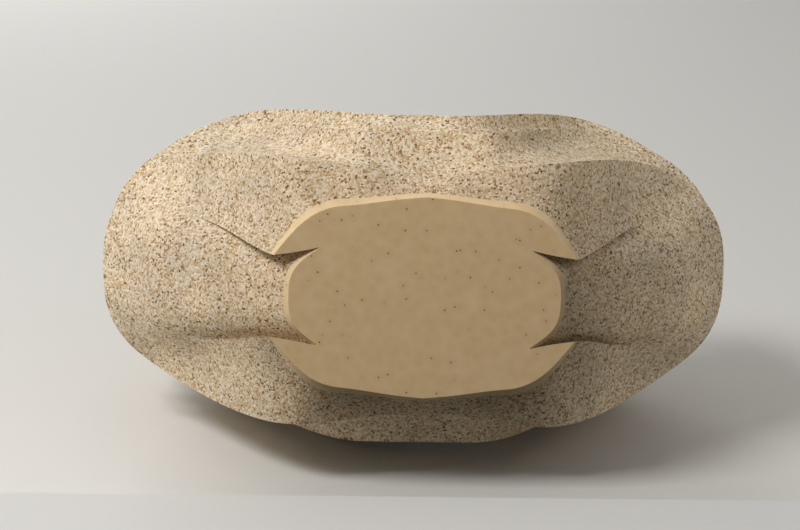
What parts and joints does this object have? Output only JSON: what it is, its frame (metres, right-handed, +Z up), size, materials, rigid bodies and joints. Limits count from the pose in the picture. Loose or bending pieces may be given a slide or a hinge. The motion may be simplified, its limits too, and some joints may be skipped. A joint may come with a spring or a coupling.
{
  "type": "sculptural vase",
  "caption": "Long oval hand-built stoneware vase with wave-like ridges, a sand-textured glaze and a flat bare clay foot.",
  "frame": {"origin": "middle of the flat foot, on the surface that the vase stands on", "axes": "+Z up out of the mouth, X along the long way of the oval, -Y the front broad side"},
  "size_m": [0.318, 0.166, 0.17],
  "materials": {
    "sand_glaze": "rough, granular sand glaze",
    "bare_clay": "smooth unglazed fired clay"
  },
  "bodies": {
    "root": {"foot_slab": "bare_clay", "lower_wall": "sand_glaze", "belly_wall": "sand_glaze", "upper_wall": "sand_glaze", "rim_coil": "sand_glaze"}
  },
  "joints": []
}
